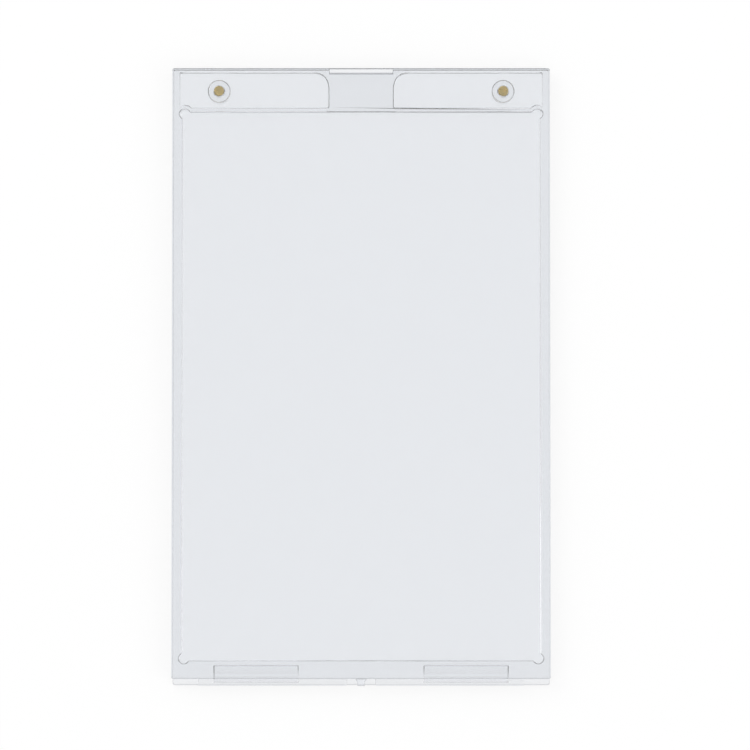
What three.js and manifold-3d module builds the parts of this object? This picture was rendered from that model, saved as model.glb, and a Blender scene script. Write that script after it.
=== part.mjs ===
// A clear display case for one comic book. A deep back tray and a shallow front cover are hooked together
// at the foot end by two wide feet, and small disc magnets in the two head corners hold the case shut.
// Sizes are in millimetres. +X is to the right, +Y towards the magnets and +Z out of the front.
// The case lies on its back: z = 0 is the outer back face, and the middle of the case is at x = 0, y = 0.

import * as THREE from "three";
import { mergeVertices } from "three/addons/utils/BufferGeometryUtils.js";
import Module from "manifold-3d";

const wasm = await Module();
wasm.setup();

// The comic book, and the room around it
const comicWidth = 168.3;
const comicLength = 260.4;
const comicSideRoom = 2.45;
const comicEndRoom = 2.55;
const trayPocketDepth = 5.2;
const coverPocketDepth = 1.4;

// Walls of the two shells
const backThickness = 2.6;
const frontThickness = 2.5;
const sideWall = 4.7;
const headWall = 1.45;
const topWall = 1.5;
const partingGap = 0.3;
const cornerRadius = 1.2;
const edgeRound = 0.5;

// Round reliefs that keep the comic's corners from touching the pocket
const lobeRadius = 2.65;
const lobeInset = 1.15;

// Cored recesses around the magnets
const recessLength = 17.8;
const recessWidth = 72.4;
const recessEndWall = 3.4;
const recessCornerRadius = 1.4;
const recessNotchRadius = 9.0;

// Disc magnets and the bosses that they are pressed into
const magnetDiameter = 5.0;
const magnetThickness = 2.5;
const magnetChamfer = 0.25;
const magnetFromRecessEnd = 19.15;
const magnetTowardsComic = 0.6;
const magnetFaceInset = 0.15;
const magnetFit = 0.3;
const bossDiameter = 10.5;

// Thumb notch, right through the tray's top wall
const notchWidth = 30.7;
const notchDepth = 1.8;

// Hooked feet of the cover, and the pockets and rails of the tray that hold them
const footPocketWidth = 41.0;
const footPocketDepth = 6.45;
const footPocketFromMiddle = 50.65;
const footSideClearance = 0.3;
const hingeWall = 2.05;
const hingeFloor = 3.1;
const beadRadius = 1.5;
const hingeClearance = 0.3;
const beadOverhang = 0.45;
const footHeelHeight = 1.5;
const openingAngle = THREE.MathUtils.degToRad(35);

// Ledge below the cover, with the two hook rails on it
const ledgeLength = 3.65;
const ledgeThickness = 2.6;
const railHalfLength = 78.5;
const railMiddleGap = 14.0;
const railBelowParting = 0.4;
const railRound = 0.6;

// Stub that the moulding gate leaves on the cover's end
const gateWidth = 3.7;
const gateFanWidth = 5.6;
const gateFanLength = 1.4;
const gateLength = 3.4;
const gateThickness = 1.8;

// Facets of the round forms
const lobeFacets = 40;
const discFacets = 40;
const cornerFacets = 5;
const recessFacets = 12;
const beadFacets = 14;

// How far a cutter or a joined part runs past the face that it crosses
const overrun = 1.0;

// Places that follow from the sizes
const pocketHalfWidth = comicWidth / 2 + comicSideRoom;
const pocketLength = comicLength + 2 * comicEndRoom;
const halfWidth = pocketHalfWidth + sideWall;
const footLength = ledgeLength + footPocketDepth + hingeWall;
const headLength = headWall + recessLength + topWall;
const caseLength = footLength + pocketLength + headLength;
const footEnd = -caseLength / 2;
const headEnd = caseLength / 2;
const coverEnd = footEnd + ledgeLength;
const footPocketEnd = coverEnd + footPocketDepth;
const pocketFoot = footPocketEnd + hingeWall;
const pocketHead = pocketFoot + pocketLength;
const recessFoot = pocketHead + headWall;
const recessHead = recessFoot + recessLength;
const recessOuter = halfWidth - recessEndWall;
const recessInner = recessOuter - recessWidth;
const magnetX = recessOuter - magnetFromRecessEnd;
const magnetY = recessFoot + recessLength / 2 - magnetTowardsComic;
const trayTop = backThickness + trayPocketDepth;
const coverBottom = trayTop + partingGap;
const coverRoof = coverBottom + coverPocketDepth;
const caseTop = coverRoof + frontThickness;
const grooveRadius = beadRadius + hingeClearance;
const hingeY = coverEnd - beadOverhang;
const hingeZ = hingeFloor + grooveRadius;
const sides = [["left", -1], ["right", 1]];

// A closed mesh as a solid that can be joined and cut
function toSolid(geometry) {
  geometry.deleteAttribute("normal");
  geometry.deleteAttribute("uv");
  const merged = mergeVertices(geometry, 1e-4);
  return new wasm.Manifold(new wasm.Mesh({
    numProp: 3,
    vertProperties: new Float32Array(merged.attributes.position.array),
    triVerts: new Uint32Array(merged.index.array),
  }));
}

function toMesh(name, solid, material) {
  const { vertProperties, triVerts } = solid.getMesh();
  const geometry = new THREE.BufferGeometry();
  geometry.setAttribute("position", new THREE.BufferAttribute(vertProperties, 3));
  geometry.setIndex(new THREE.BufferAttribute(triVerts, 1));
  geometry.computeVertexNormals();
  const mesh = new THREE.Mesh(geometry, material);
  mesh.name = name;
  return mesh;
}

// An outline through corner points [x, y, radius], each corner rounded by its radius
function roundedOutline(corners) {
  const shape = new THREE.Shape();
  corners.forEach(([x, y, radius], i) => {
    const corner = new THREE.Vector2(x, y);
    const [beforeX, beforeY] = corners[(i + corners.length - 1) % corners.length];
    const [afterX, afterY] = corners[(i + 1) % corners.length];
    const before = new THREE.Vector2(beforeX, beforeY).sub(corner).setLength(radius).add(corner);
    const after = new THREE.Vector2(afterX, afterY).sub(corner).setLength(radius).add(corner);
    if (i === 0) {
      shape.moveTo(before.x, before.y);
    } else {
      shape.lineTo(before.x, before.y);
    }
    if (radius > 0) {
      shape.quadraticCurveTo(corner.x, corner.y, after.x, after.y);
    }
  });
  shape.closePath();
  return shape;
}

function rectangle(x0, x1, y0, y1, radius = 0) {
  return roundedOutline([[x0, y0, radius], [x1, y0, radius], [x1, y1, radius], [x0, y1, radius]]);
}

// A plan outline raised from z0 to z1
function raise(shape, z0, z1, facets = cornerFacets) {
  const geometry = new THREE.ExtrudeGeometry(shape, {
    depth: z1 - z0,
    bevelEnabled: false,
    curveSegments: facets,
  });
  return toSolid(geometry.translate(0, 0, z0));
}

// The same, with its edges rounded all the way round both faces
function raiseRounded(shape, z0, z1, round) {
  const geometry = new THREE.ExtrudeGeometry(shape, {
    depth: z1 - z0 - 2 * round,
    bevelThickness: round,
    bevelSize: round,
    bevelOffset: -round,
    bevelSegments: 3,
    curveSegments: cornerFacets,
  });
  return toSolid(geometry.translate(0, 0, z0 + round));
}

// A side profile, drawn in y and z, run along X from x0 to x1
function runAcross(profile, x0, x1) {
  const geometry = new THREE.ExtrudeGeometry(profile, {
    depth: x1 - x0,
    bevelEnabled: false,
    curveSegments: beadFacets,
  });
  const toYZ = new THREE.Matrix4().makeBasis(
    new THREE.Vector3(0, 1, 0),
    new THREE.Vector3(0, 0, 1),
    new THREE.Vector3(1, 0, 0),
  );
  return toSolid(geometry.applyMatrix4(toYZ).translate(x0, 0, 0));
}

function disc(x, y, z0, z1, radius, facets) {
  const geometry = new THREE.CylinderGeometry(radius, radius, z1 - z0, facets);
  return toSolid(geometry.rotateX(Math.PI / 2).translate(x, y, (z0 + z1) / 2));
}

// The space for the comic: a rectangle with a round relief at each corner
function comicSpace(z0, z1) {
  let space = raise(rectangle(-pocketHalfWidth, pocketHalfWidth, pocketFoot, pocketHead), z0, z1);
  for (const [, side] of sides) {
    for (const lobeY of [pocketFoot + lobeInset, pocketHead - lobeInset]) {
      space = space.add(disc(side * (pocketHalfWidth - lobeInset), lobeY, z0, z1, lobeRadius, lobeFacets));
    }
  }
  return space;
}

// The hollow around one magnet boss. Its inner head corner has a large round that leaves a thick wall beside
// the thumb notch, and its outer foot corner goes round the relief of the comic space, a wall away from it.
function magnetRecess(side, z0, z1) {
  const outline = roundedOutline([
    [side * recessInner, recessFoot, recessCornerRadius],
    [side * recessOuter, recessFoot, recessCornerRadius],
    [side * recessOuter, recessHead, recessCornerRadius],
    [side * recessInner, recessHead, recessNotchRadius],
  ]);
  const lobeX = side * (pocketHalfWidth - lobeInset);
  const low = z0 - overrun;
  const high = z1 + overrun;
  const lobeWall = disc(lobeX, pocketHead - lobeInset, low, high, lobeRadius + headWall, lobeFacets);
  const boss = disc(side * magnetX, magnetY, low, high, bossDiameter / 2, discFacets);
  return raise(outline, z0, z1, recessFacets).subtract(lobeWall).subtract(boss);
}

function magnetBore(side, z0, z1) {
  return disc(side * magnetX, magnetY, z0, z1, magnetDiameter / 2 + magnetFit, discFacets);
}

// The space in the tray for one foot. Its groove is round about the hinge line, and the lip over the
// groove leans back by the opening angle, so the foot meets it when the cover is fully open.
function footSpaceProfile() {
  const mouthAngle = openingAngle + Math.acos((beadOverhang - hingeClearance) / grooveRadius);
  const top = trayTop + overrun;
  const lipRise = (top - hingeZ) * Math.sin(openingAngle);
  const lipBack = (beadOverhang - hingeClearance - lipRise) / Math.cos(openingAngle);
  const profile = new THREE.Shape();
  profile.moveTo(footPocketEnd, hingeFloor);
  profile.lineTo(footPocketEnd, top);
  profile.lineTo(hingeY + lipBack, top);
  profile.lineTo(hingeY + grooveRadius * Math.cos(mouthAngle), hingeZ + grooveRadius * Math.sin(mouthAngle));
  profile.absarc(hingeY, hingeZ, grooveRadius, mouthAngle, 1.5 * Math.PI, false);
  profile.closePath();
  return profile;
}

// One foot of the cover: a thick leg down into the tray that ends in a round bead on the hinge line
function footProfile() {
  const legTop = coverBottom + edgeRound + hingeClearance;
  const legInner = footPocketEnd - hingeClearance;
  const beadTopAngle = Math.acos(beadOverhang / beadRadius);
  const profile = new THREE.Shape();
  profile.moveTo(coverEnd, legTop);
  profile.lineTo(coverEnd, hingeZ + beadRadius * Math.sin(beadTopAngle));
  profile.absarc(hingeY, hingeZ, beadRadius, beadTopAngle, 1.5 * Math.PI, false);
  profile.lineTo(legInner - footHeelHeight, hingeZ - beadRadius);
  profile.lineTo(legInner, hingeZ - beadRadius + footHeelHeight);
  profile.lineTo(legInner, legTop);
  profile.closePath();
  return profile;
}

// Hook rail on the ledge, rounded along its outer top edge
function railProfile() {
  const railTop = trayTop - railBelowParting;
  const railRoot = ledgeThickness / 2;
  return roundedOutline([
    [footEnd, railRoot, 0],
    [coverEnd + overrun, railRoot, 0],
    [coverEnd + overrun, railTop, 0],
    [footEnd, railTop, railRound],
  ]);
}

function makeBackTray(material) {
  const shell = rectangle(-halfWidth, halfWidth, coverEnd, headEnd, cornerRadius);
  const ledge = rectangle(-halfWidth, halfWidth, footEnd, footPocketEnd, cornerRadius);
  let tray = raiseRounded(shell, 0, trayTop, edgeRound);
  tray = tray.add(raiseRounded(ledge, 0, ledgeThickness, edgeRound));
  for (const [, side] of sides) {
    const railEnds = [side * railMiddleGap / 2, side * railHalfLength].sort((a, b) => a - b);
    tray = tray.add(runAcross(railProfile(), ...railEnds));
  }
  const cutTop = trayTop + overrun;
  tray = tray.subtract(comicSpace(backThickness, cutTop));
  tray = tray.subtract(raise(
    rectangle(-notchWidth / 2, notchWidth / 2, headEnd - notchDepth, headEnd + overrun),
    -overrun,
    cutTop,
  ));
  for (const [, side] of sides) {
    const footPocketX = side * footPocketFromMiddle - footPocketWidth / 2;
    tray = tray.subtract(magnetRecess(side, backThickness, cutTop));
    tray = tray.subtract(magnetBore(side, trayMagnetFloor() - magnetFit, cutTop));
    tray = tray.subtract(runAcross(footSpaceProfile(), footPocketX, footPocketX + footPocketWidth));
  }
  return toMesh("back_tray", tray, material);
}

function makeFrontCover(material) {
  const shell = rectangle(-halfWidth, halfWidth, coverEnd, headEnd, cornerRadius);
  let cover = raiseRounded(shell, coverBottom, caseTop, edgeRound);
  const cutBottom = coverBottom - overrun;
  cover = cover.subtract(comicSpace(cutBottom, coverRoof));
  for (const [, side] of sides) {
    const footX = side * footPocketFromMiddle - footPocketWidth / 2;
    cover = cover.subtract(magnetRecess(side, cutBottom, coverRoof));
    cover = cover.subtract(magnetBore(side, cutBottom, coverMagnetTop() + magnetFit));
    cover = cover.add(runAcross(
      footProfile(),
      footX + footSideClearance,
      footX + footPocketWidth - footSideClearance,
    ));
  }
  return toMesh("front_cover", cover.add(gateStub()), material);
}

// The stub fans in from the cover's end to a short straight tongue, over the gap between the rails
function gateStub() {
  const outline = roundedOutline([
    [-gateFanWidth / 2, coverEnd + overrun, 0],
    [-gateFanWidth / 2, coverEnd, 0],
    [-gateWidth / 2, coverEnd - gateFanLength, 0],
    [-gateWidth / 2, coverEnd - gateLength, gateWidth / 8],
    [gateWidth / 2, coverEnd - gateLength, gateWidth / 8],
    [gateWidth / 2, coverEnd - gateFanLength, 0],
    [gateFanWidth / 2, coverEnd, 0],
    [gateFanWidth / 2, coverEnd + overrun, 0],
  ]);
  return raise(outline, coverBottom + edgeRound, coverBottom + edgeRound + gateThickness);
}

function trayMagnetFloor() {
  return trayTop - magnetFaceInset - magnetThickness;
}

function coverMagnetTop() {
  return coverBottom + magnetFaceInset + magnetThickness;
}

// A disc magnet with its two rims chamfered, as a turned profile about its own axis
function makeMagnet(name, x, z0, material) {
  const radius = magnetDiameter / 2;
  const profile = [
    [0, 0],
    [radius - magnetChamfer, 0],
    [radius, magnetChamfer],
    [radius, magnetThickness - magnetChamfer],
    [radius - magnetChamfer, magnetThickness],
    [0, magnetThickness],
  ].map(([r, h]) => new THREE.Vector2(r, h));
  const geometry = new THREE.LatheGeometry(profile, discFacets).rotateX(Math.PI / 2);
  const magnet = toMesh(name, toSolid(geometry), material);
  magnet.position.set(x, magnetY, z0);
  return magnet;
}

const clearPlastic = () => new THREE.MeshStandardMaterial({
  color: 0xe4e7ea,
  roughness: 0.06,
  metalness: 0,
  transparent: true,
  opacity: 0.35,
});
const goldPlate = () => new THREE.MeshStandardMaterial({
  color: 0xb49e73,
  roughness: 0.3,
  metalness: 1,
});

const comicCase = new THREE.Group();
comicCase.name = "comic_case";
comicCase.add(makeBackTray(clearPlastic()));
comicCase.add(makeFrontCover(clearPlastic()));
for (const [sideName, side] of sides) {
  comicCase.add(makeMagnet(`tray_magnet_${sideName}`, side * magnetX, trayMagnetFloor(), goldPlate()));
  const coverMagnetFloor = coverMagnetTop() - magnetThickness;
  comicCase.add(makeMagnet(`cover_magnet_${sideName}`, side * magnetX, coverMagnetFloor, goldPlate()));
}

export default comicCase;
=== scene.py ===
"""Looks of a clear display case for one comic book: two moulded shells of clear plastic with gold-plated
disc magnets pressed into their head corners. Lengths are in metres, in the part's own frame: the case
lies on its back, +Y points to the magnets and +Z out of the front cover."""

import math

import bmesh
import bpy
from mathutils import Matrix, Vector


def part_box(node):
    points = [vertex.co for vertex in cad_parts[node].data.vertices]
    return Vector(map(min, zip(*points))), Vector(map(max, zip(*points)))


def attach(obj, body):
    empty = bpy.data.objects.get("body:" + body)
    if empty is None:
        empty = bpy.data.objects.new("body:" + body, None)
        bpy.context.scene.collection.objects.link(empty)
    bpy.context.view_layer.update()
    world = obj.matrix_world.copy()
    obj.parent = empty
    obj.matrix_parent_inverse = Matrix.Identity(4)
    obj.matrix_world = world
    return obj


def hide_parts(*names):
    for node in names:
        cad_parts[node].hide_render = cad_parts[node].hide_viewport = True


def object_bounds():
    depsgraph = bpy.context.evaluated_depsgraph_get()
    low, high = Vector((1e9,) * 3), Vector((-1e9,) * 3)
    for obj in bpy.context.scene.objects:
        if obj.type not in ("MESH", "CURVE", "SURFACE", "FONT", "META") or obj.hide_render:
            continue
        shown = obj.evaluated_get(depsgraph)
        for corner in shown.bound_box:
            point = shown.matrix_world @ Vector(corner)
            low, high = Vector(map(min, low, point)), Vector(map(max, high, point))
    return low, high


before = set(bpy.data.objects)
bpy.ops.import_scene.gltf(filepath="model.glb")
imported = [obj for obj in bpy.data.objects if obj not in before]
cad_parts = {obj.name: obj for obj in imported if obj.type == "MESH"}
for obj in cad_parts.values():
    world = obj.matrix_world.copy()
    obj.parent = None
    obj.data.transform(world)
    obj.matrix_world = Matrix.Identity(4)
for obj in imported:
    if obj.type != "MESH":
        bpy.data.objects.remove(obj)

cad_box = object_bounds()
MM = 0.001
BLACK = (0.0, 0.0, 0.0)
WHITE = (1.0, 1.0, 1.0)

# Small rounds on the sharp edges of the two mouldings
EDGE_ROUND = 0.26 * MM
EDGE_SEGMENTS = 2
EDGE_PROFILE = 0.5
SHARP_EDGE = math.radians(35)

# What is merged: doubled corners, flush facets and slivers
MERGE_DISTANCE = 0.002 * MM
FLAT_ENOUGH = math.radians(0.3)
SHORTEST_EDGE = 0.1 * MM

# What shades smoothly: the small facets of round walls that meet at a blunt angle
ROUND_FACET_AREA = 20 * MM * MM
SMOOTH_BELOW = math.radians(12)

# How a face lies, by the Z of its normal: upright under the first, slanted between the second and the third
STANDING = 0.5
SLANTED = 0.03
NEARLY_FLAT = 0.98

# How matt and how grey with painted shade the rims are: a strength for all of a shell's rims, and boxes in
# millimetres where another holds, the first that fits. The grey is painted shade for the dark lines that the
# edges of clear plastic show by refraction and total reflection. The case is the same on both sides, so X is
# measured from the middle outwards. In a box with "walls" the standing faces are matt and shaded too.
TRAY_RIMS = 0.1
TRAY_RIM_PLACES = (
    ("thumb notch", (-1.0, 147.2, -1.0), (15.6, 149.5, 8.0), 1.0, "walls"),
    ("head wall", (-1.0, 147.0, -1.0), (92.0, 149.5, 8.0), 0.0, "rims"),
    ("recess corners", (-1.0, 137.5, -1.0), (26.0, 147.8, 8.0), 0.0, "rims"),
    ("bosses", (62.0, 131.5, -1.0), (75.0, 144.5, 8.0), 0.03, "rims"),
    ("head reliefs", (81.5, 124.0, -1.0), (88.5, 131.5, 8.0), 0.0, "rims"),
    ("foot reliefs", (81.5, -139.0, -1.0), (88.5, -132.5, 8.0), 0.0, "rims"),
    ("ledge", (-1.0, -149.5, -1.0), (92.0, -145.6, 2.7), 0.3, "rims"),
    ("hook rails", (-1.0, -149.5, 2.7), (92.0, -143.0, 8.0), 0.02, "rims"),
)
COVER_RIMS = 0.1
COVER_RIM_PLACES = (
    ("head edge", (-1.0, 148.0, 11.3), (92.0, 150.0, 12.1), 0.9, "rims"),
    ("foot edge", (-1.0, -150.0, 11.3), (92.0, -144.5, 12.1), 0.5, "rims"),
    ("side edges", (-1.0, -150.0, 11.3), (92.0, 150.0, 12.1), 0.08, "rims"),
    ("head wall", (-1.0, 147.0, 8.0), (92.0, 149.5, 11.3), 0.0, "rims"),
    ("recess corners", (-1.0, 137.5, 8.0), (26.0, 147.8, 11.3), 0.0, "rims"),
    ("bosses", (62.0, 131.5, 8.0), (75.0, 144.5, 11.3), 0.03, "rims"),
    ("head reliefs", (81.5, 124.0, 8.0), (88.5, 131.5, 11.3), 0.0, "rims"),
    ("foot reliefs", (81.5, -139.0, 8.0), (88.5, -132.5, 11.3), 0.0, "rims"),
    ("beads", (-1.0, -148.0, 3.0), (92.0, -144.0, 8.0), 0.0, "rims"),
    ("gate stub", (-1.0, -149.5, 8.0), (3.2, -145.6, 12.0), 0.35, "rims"),
)

# Where a recess runs out against the wall of the comic's relief, too narrow for a rounded edge
CUSP = Vector((87.8 * MM, 130.7 * MM))
CUSP_REACH = 0.75 * MM

# The parting line along the head wall meets crisply: the rims of the tray and the cover there
PARTING_RIMS = (7.8 * MM, 8.1 * MM)
HEAD_WALL_FROM = 147.0 * MM
LEVEL = 0.02 * MM

# The underside of the cover's feet slopes up from nearer the bead than on the solid
HEEL_LOW = 3.4 * MM
HEEL_FROM = -140.9 * MM
HEEL_TO = -143.6 * MM

# The plastic: polished faces, and rims that the mould leaves less polished, greyed with painted shade
PLASTIC_IOR = 1.49
FACE_TINT = (0.958, 0.968, 0.985)
# Painted shade: the grey of the rims stands in for the dark lines of refraction and total reflection at the
# edges
RIM_PAINTED_SHADE = (0.22, 0.23, 0.25)
PLASTIC_ABSORBS = (0.84, 0.85, 0.86)
PLASTIC_DENSITY = 55.0
FACE_ROUGH = 0.012
HAZE_ROUGH = 0.02
SCUFF_ROUGH = 0.05
RIM_ROUGH = 0.28

# Its fine haze from handling, its hairline scuffs across the case, and its flow waves
HAZE = {"Scale": 60.0, "Detail": 4.0, "Roughness": 0.6}
SCUFF_STROKES = (30.0, 700.0, 30.0)
SCUFFS = {"Scale": 1.0, "Detail": 3.0, "Distortion": 0.6}
SCUFFS_START = 0.64
SCUFFS_FULL = 0.72
FLOW_WAVES = {"Scale": 14.0, "Detail": 1.0, "Roughness": 0.4}
WAVE_STRENGTH = 0.02
WAVE_HEIGHT = 0.1 * MM

# The gold plating of the magnets, fresh and rubbed, and its grain
GOLD = (0.51, 0.37, 0.13)
GOLD_WORN = (0.40, 0.32, 0.14)
GOLD_UP_TO = 0.35
WORN_FROM = 0.75
GOLD_ROUGH = 0.18
RUBBED_ROUGH = 0.2
RUBBING = {"Scale": 420.0, "Detail": 2.0}
GRAIN = {"Scale": 2600.0, "Detail": 3.0, "Roughness": 0.6}
GRAIN_STRENGTH = 0.25
GRAIN_HEIGHT = 0.02 * MM

# The turned shape of a magnet: a dish that rises in two slopes to a narrow flat land, and a round rim
MAGNET_RIM = 0.3 * MM
MAGNET_DISH = 0.12 * MM
DISH_KNEE = 0.6
LAND_WIDTH = 0.4 * MAGNET_RIM
RIM_STEPS = 4
TURN_STEPS = 64

# Camera, from the photograph's perspective
CAMERA_DISTANCE = 1.5
CAMERA_TILT = math.radians(1.69)
CAMERA_ASIDE = Vector((6.71 * MM, 0.70 * MM, 0))
IMAGE_PIXELS = 750
FOCAL_PIXELS = 3110.8
SENSOR = 36.0

# The floor: white paper, of which a share shows as pure white ground and the rest takes the shadow
FLOOR_SIZE = 8.0
FLOOR_DROP = 0.02 * MM
PAPER_ROUGH = 0.5
GROUND_SHARE = 0.84
HALF_A_BOUNCE = 0.5

# Studio: soft light from all round, and two broad lamps aimed at the case
SKY_TOP = 0.85
SKY_HORIZON = 0.55
KEY_LAMP = {"place": (-1.2, 1.4, 1.9), "size": 1.6, "power": 17.0}
FILL_LAMP = {"place": (1.6, -0.8, 1.7), "size": 1.4, "power": 9.0}


class Value:
    """A socket that plain arithmetic works on."""

    def __init__(self, tree, socket):
        self.tree = tree
        self.socket = socket

    def _math(self, operation, *values):
        node = self.tree.nodes.new("ShaderNodeMath")
        node.operation = operation
        for place, value in zip(node.inputs, values):
            connect(self.tree, place, value)
        return Value(self.tree, node.outputs[0])

    def __add__(self, other):
        return self._math("ADD", self, other)

    def __radd__(self, other):
        return self._math("ADD", other, self)

    def __sub__(self, other):
        return self._math("SUBTRACT", self, other)

    def __rsub__(self, other):
        return self._math("SUBTRACT", other, self)

    def __mul__(self, other):
        return self._math("MULTIPLY", self, other)

    def __rmul__(self, other):
        return self._math("MULTIPLY", other, self)

    def least(self, other):
        return self._math("MINIMUM", self, other)

    def below(self, other):
        return self._math("LESS_THAN", self, other)


def connect(tree, place, value):
    """Links a socket, or sets a plain value."""
    if isinstance(value, Value):
        tree.links.new(value.socket, place)
    elif isinstance(value, tuple) and len(value) == 3 and place.type == "RGBA":
        place.default_value = (*value, 1.0)
    else:
        place.default_value = value


class Finish:
    """A material, or the world, being put together."""

    def __init__(self, owner):
        self.owner = owner
        owner.use_nodes = True
        self.tree = owner.node_tree
        self.tree.nodes.clear()

    def node(self, kind, settings=None, inputs=None, out=0):
        """One node: its settings first, then the values or links of its sockets."""
        node = self.tree.nodes.new(kind)
        for name, value in (settings or {}).items():
            if name == "ramp":
                self._ramp(node.color_ramp, value)
            else:
                setattr(node, name, value)
        for name, value in (inputs or {}).items():
            connect(self.tree, node.inputs[name], value)
        return Value(self.tree, node.outputs[out])

    @staticmethod
    def _ramp(ramp, stops):
        while len(ramp.elements) < len(stops):
            ramp.elements.new(0.5)
        for element, (position, color) in zip(ramp.elements, stops):
            element.position = position
            element.color = (*color, 1.0)

    def close(self, surface, volume=None):
        """Links the finished surface, and what fills the inside, to the output."""
        kind = "World" if isinstance(self.owner, bpy.types.World) else "Material"
        output = self.tree.nodes.new("ShaderNodeOutput" + kind)
        connect(self.tree, output.inputs["Surface"], surface)
        if volume is not None:
            connect(self.tree, output.inputs["Volume"], volume)
        return self.owner


def clear_plastic(name):
    """Clear moulding: faint flow waves in the gloss, fine handling haze, hairline scuffs, rims that are
    less polished than the faces and greyed with painted shade, and a tint that deepens with the thickness of
    the wall."""
    finish = Finish(bpy.data.materials.new(name))
    place = finish.node("ShaderNodeTexCoord", out="Object")
    rim = finish.node("ShaderNodeAttribute", {"attribute_name": "rim"}, out="Fac")
    haze = finish.node("ShaderNodeTexNoise", inputs={"Vector": place, **HAZE})
    stroked = finish.node("ShaderNodeMapping", inputs={"Vector": place, "Scale": SCUFF_STROKES})
    scuffs = finish.node("ShaderNodeTexNoise", inputs={"Vector": stroked, **SCUFFS})
    hairlines = finish.node(
        "ShaderNodeValToRGB",
        settings={"ramp": [(SCUFFS_START, BLACK), (SCUFFS_FULL, WHITE)]},
        inputs={"Fac": scuffs},
    )
    waves = finish.node("ShaderNodeTexNoise", inputs={"Vector": place, **FLOW_WAVES})
    skin = finish.node(
        "ShaderNodeBump",
        inputs={"Strength": WAVE_STRENGTH, "Distance": WAVE_HEIGHT, "Height": waves},
    )
    # The rims are greyed with painted shade for the dark edge lines; their extra roughness is the duller
    # polish
    color = finish.node(
        "ShaderNodeMix",
        settings={"data_type": "RGBA"},
        inputs={0: rim, 6: FACE_TINT, 7: RIM_PAINTED_SHADE},
        out=2,
    )
    surface = finish.node(
        "ShaderNodeBsdfPrincipled",
        inputs={
            "Base Color": color,
            "Roughness": FACE_ROUGH + HAZE_ROUGH * haze + SCUFF_ROUGH * hairlines + RIM_ROUGH * rim,
            "IOR": PLASTIC_IOR,
            "Transmission Weight": 1.0,
            "Normal": skin,
        },
    )
    depth = finish.node(
        "ShaderNodeVolumeAbsorption",
        inputs={"Color": PLASTIC_ABSORBS, "Density": PLASTIC_DENSITY},
    )
    return finish.close(surface, depth)


def gold_plate():
    """Thin gold-coloured plating: a fine grain, rubbed duller in patches."""
    finish = Finish(bpy.data.materials.new("gold_plate"))
    place = finish.node("ShaderNodeTexCoord", out="Object")
    grain = finish.node("ShaderNodeTexNoise", inputs={"Vector": place, **GRAIN})
    rubbed = finish.node("ShaderNodeTexNoise", inputs={"Vector": place, **RUBBING})
    color = finish.node(
        "ShaderNodeValToRGB",
        settings={"ramp": [(GOLD_UP_TO, GOLD), (WORN_FROM, GOLD_WORN)]},
        inputs={"Fac": rubbed},
    )
    skin = finish.node(
        "ShaderNodeBump",
        inputs={"Strength": GRAIN_STRENGTH, "Distance": GRAIN_HEIGHT, "Height": grain},
    )
    surface = finish.node(
        "ShaderNodeBsdfPrincipled",
        inputs={
            "Base Color": color,
            "Roughness": GOLD_ROUGH + RUBBED_ROUGH * rubbed,
            "Metallic": 1.0,
            "Normal": skin,
        },
    )
    return finish.close(surface)


def background_seen(finish):
    """1 on a ray that shows the background to the camera, straight or through plastic and off gold, and 0 on
    a ray that lights the floor."""
    straight = finish.node("ShaderNodeLightPath", out="Is Camera Ray")
    off_gloss = finish.node("ShaderNodeLightPath", out="Is Glossy Ray")
    through = finish.node("ShaderNodeLightPath", out="Is Transmission Ray")
    before_floor = finish.node("ShaderNodeLightPath", out="Diffuse Depth").below(HALF_A_BOUNCE)
    return (straight + off_gloss + through).least(1.0) * before_floor


def paper_sweep():
    """White paper that takes the shadow, and shows as the white ground of the photograph."""
    finish = Finish(bpy.data.materials.new("paper_sweep"))
    paper = finish.node("ShaderNodeBsdfDiffuse", inputs={"Color": WHITE, "Roughness": PAPER_ROUGH})
    ground = finish.node("ShaderNodeEmission", inputs={"Color": WHITE, "Strength": 1.0})
    share = GROUND_SHARE * background_seen(finish)
    return finish.close(finish.node("ShaderNodeMixShader", inputs={0: share, 1: paper, 2: ground}))


def new_piece(name, bm, body, material, node):
    """Turns a bmesh into a piece that rides on its body and stands for its CAD node."""
    mesh = bpy.data.meshes.new(name)
    bm.to_mesh(mesh)
    bm.free()
    mesh.materials.append(material)
    piece = bpy.data.objects.new(name, mesh)
    bpy.context.scene.collection.objects.link(piece)
    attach(piece, body)
    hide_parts(node)
    return piece


def in_box(point, low, high):
    """Whether a point lies in a box given in millimetres, with X measured from the middle outwards."""
    return all(lo * MM < at < hi * MM for lo, at, hi in zip(low, (abs(point.x), point.y, point.z), high))


def rim_matt_and_shade(face, rounded, strength, places):
    """How matt one face is and how grey with painted shade: the rims as much as their place says, and the
    open faces not at all.
    """
    slope = abs(face.normal.z)
    is_rim = face in rounded or SLANTED < slope < NEARLY_FLAT
    middle = face.calc_center_median()
    for _, low, high, here, reach in places:
        if in_box(middle, low, high) and (is_rim or (reach == "walls" and slope < STANDING)):
            return here
    return strength if face in rounded else 0.0


def ease_heels(bm):
    """Starts the slope under the feet nearer the bead, so that it lets the light through as the real one
    does."""
    heel = [
        v for v in bm.verts
        if abs(v.co.z - HEEL_LOW) < EDGE_ROUND and abs(v.co.y - HEEL_FROM) < EDGE_ROUND
    ]
    bmesh.ops.translate(bm, vec=(0, HEEL_TO - HEEL_FROM, 0), verts=heel)


def shade_curved_faces(bm):
    """Smooth shading on the small facets of round walls alone, so that the plates stay optically flat."""
    bm.normal_update()
    for face in bm.faces:
        face.smooth = abs(face.normal.z) < NEARLY_FLAT and face.calc_area() < ROUND_FACET_AREA
    for edge in bm.edges:
        edge.smooth = edge.calc_face_angle(0.0) < SMOOTH_BELOW


def on_parting_line(ends):
    """Whether an edge lies on the parting line along the head wall."""
    return any(
        all(abs(end.z - rim) < LEVEL and end.y > HEAD_WALL_FROM for end in ends)
        for rim in PARTING_RIMS
    )


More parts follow.
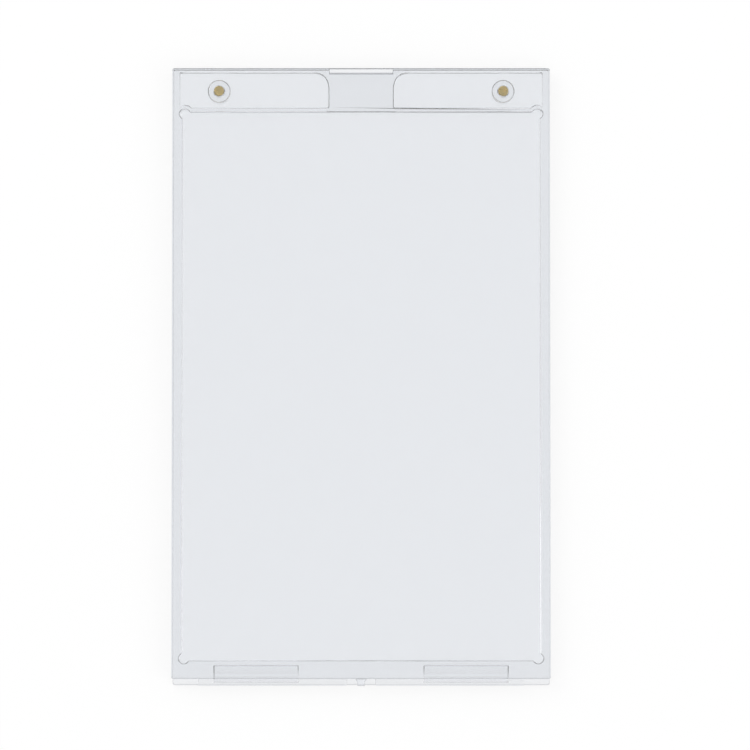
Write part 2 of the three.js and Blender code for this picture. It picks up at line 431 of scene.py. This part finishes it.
def takes_round(edge):
    """Sharp edges are rounded, but for the end of a rounded lip against a wall, the parting line along the
    head wall and the cusp of a recess."""
    if len(edge.link_faces) != 2 or edge.calc_face_angle() <= SHARP_EDGE:
        return False
    ends = [v.co for v in edge.verts]
    along = ends[1] - ends[0]
    if not edge.is_convex and abs(along.z) > LEVEL and along.xy.length > LEVEL:
        return False
    if on_parting_line(ends):
        return False
    return all((Vector((abs(end.x), end.y)) - CUSP).length > CUSP_REACH for end in ends)


def moulding(name, node, body, material, rims, places, reshape=None):
    """A shell taken from its solid, with its faces made whole and nearly every sharp edge given a small
    round."""
    bm = bmesh.new()
    bm.from_mesh(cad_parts[node].data)
    bmesh.ops.remove_doubles(bm, verts=bm.verts, dist=MERGE_DISTANCE)
    bmesh.ops.dissolve_limit(
        bm, angle_limit=FLAT_ENOUGH, use_dissolve_boundaries=False, verts=bm.verts, edges=bm.edges
    )
    bmesh.ops.remove_doubles(bm, verts=bm.verts, dist=SHORTEST_EDGE)
    if reshape:
        reshape(bm)
    rounded = set(bmesh.ops.bevel(
        bm,
        geom=[edge for edge in bm.edges if takes_round(edge)],
        offset=EDGE_ROUND,
        offset_type="OFFSET",
        segments=EDGE_SEGMENTS,
        profile=EDGE_PROFILE,
        affect="EDGES",
        clamp_overlap=False,
        material=-1,
    )["faces"])
    bmesh.ops.dissolve_degenerate(bm, dist=MERGE_DISTANCE, edges=bm.edges)
    rounded = {face for face in rounded if face.is_valid}
    bm.normal_update()
    # Each face's rim strength: rougher, and greyed with painted shade for the dark edge lines
    rim = bm.faces.layers.float.new("rim")
    for face in bm.faces:
        face[rim] = rim_matt_and_shade(face, rounded, rims, places)
    bmesh.ops.triangulate(bm, faces=bm.faces)
    shade_curved_faces(bm)
    return new_piece(name, bm, body, material, node)


def magnet_profile(radius, half):
    """Half the section of a disc, from the middle of its face round the rim to the middle of its back."""
    profile = [
        Vector((0, 0, half - MAGNET_DISH)),
        Vector((radius * DISH_KNEE, 0, half - MAGNET_DISH * DISH_KNEE)),
        Vector((radius - MAGNET_RIM - LAND_WIDTH, 0, half)),
    ]
    for step in range(RIM_STEPS + 1):
        turn = math.pi / 2 * (1 - step / RIM_STEPS)
        profile.append(Vector((
            radius - MAGNET_RIM + MAGNET_RIM * math.cos(turn),
            0,
            half - MAGNET_RIM + MAGNET_RIM * math.sin(turn),
        )))
    profile.append(Vector((radius, 0, -half + MAGNET_RIM)))
    profile.append(Vector((radius - MAGNET_RIM, 0, -half)))
    profile.append(Vector((0, 0, -half)))
    return profile


def magnet(name, node, body, material):
    """A pressed disc, turned from its profile."""
    low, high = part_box(node)
    bm = bmesh.new()
    verts = [bm.verts.new(point) for point in magnet_profile((high.x - low.x) / 2, (high.z - low.z) / 2)]
    for a, b in zip(verts, verts[1:]):
        bm.edges.new((a, b))
    bmesh.ops.spin(
        bm, geom=bm.verts[:] + bm.edges[:], axis=(0, 0, 1), cent=(0, 0, 0),
        angle=math.tau, steps=TURN_STEPS, use_merge=True,
    )
    bmesh.ops.remove_doubles(bm, verts=bm.verts, dist=MERGE_DISTANCE)
    bmesh.ops.translate(bm, vec=(low + high) / 2, verts=bm.verts)
    bmesh.ops.recalc_face_normals(bm, faces=bm.faces)
    new_piece(name, bm, body, material, node).data.shade_smooth()


def make_floor():
    """A wide sheet of paper just under the case."""
    bm = bmesh.new()
    bmesh.ops.create_grid(bm, x_segments=1, y_segments=1, size=FLOOR_SIZE / 2)
    mesh = bpy.data.meshes.new("floor")
    bm.to_mesh(mesh)
    bm.free()
    mesh.materials.append(paper_sweep())
    floor = bpy.data.objects.new("floor", mesh)
    floor.location.z = -FLOOR_DROP
    bpy.context.scene.collection.objects.link(floor)


def make_world():
    """Soft light from all round, brighter from above, in front of a white ground."""
    world = bpy.data.worlds.new("soft_studio")
    bpy.context.scene.world = world
    finish = Finish(world)
    direction = finish.node("ShaderNodeTexCoord", out="Generated")
    up = finish.node("ShaderNodeSeparateXYZ", inputs={"Vector": direction}, out="Z")
    level = SKY_HORIZON + (SKY_TOP - SKY_HORIZON) * up
    strength = level + (1 - level) * background_seen(finish)
    finish.close(finish.node("ShaderNodeBackground", inputs={"Color": WHITE, "Strength": strength}))


def make_lamp(name, place, size, power):
    """A square soft lamp, aimed at the middle of the case."""
    data = bpy.data.lights.new(name, "AREA")
    data.shape = "RECTANGLE"
    data.size = size
    data.size_y = size
    data.energy = power
    lamp = bpy.data.objects.new(name, data)
    lamp.location = place
    lamp.rotation_euler = (-Vector(place)).to_track_quat("-Z", "Y").to_euler()
    bpy.context.scene.collection.objects.link(lamp)


def make_camera():
    """The photograph's camera, straight in front of the case and a little below its middle."""
    turn = Matrix.Rotation(CAMERA_TILT, 4, "X")
    data = bpy.data.cameras.new("camera")
    data.sensor_width = SENSOR
    data.lens = SENSOR * FOCAL_PIXELS / IMAGE_PIXELS
    camera = bpy.data.objects.new("camera", data)
    place = CAMERA_ASIDE + Vector((0, 0, CAMERA_DISTANCE))
    camera.matrix_world = Matrix.Translation((0, 0, cad_box[1].z)) @ turn @ Matrix.Translation(place)
    bpy.context.scene.collection.objects.link(camera)
    bpy.context.scene.camera = camera


bpy.context.scene.view_settings.view_transform = "Standard"

tray_plastic = clear_plastic("clear_tray")
cover_plastic = clear_plastic("clear_cover")
gold = gold_plate()
moulding("tray_shell", "back_tray", "tray", tray_plastic, TRAY_RIMS, TRAY_RIM_PLACES)
moulding(
    "cover_shell", "front_cover", "cover", cover_plastic, COVER_RIMS, COVER_RIM_PLACES,
    reshape=ease_heels,
)
for side in ("left", "right"):
    magnet(f"tray_disc_{side}", f"tray_magnet_{side}", "tray", gold)
    magnet(f"cover_disc_{side}", f"cover_magnet_{side}", "cover", gold)

make_floor()
make_world()
make_lamp("key", **KEY_LAMP)
make_lamp("fill", **FILL_LAMP)
make_camera()
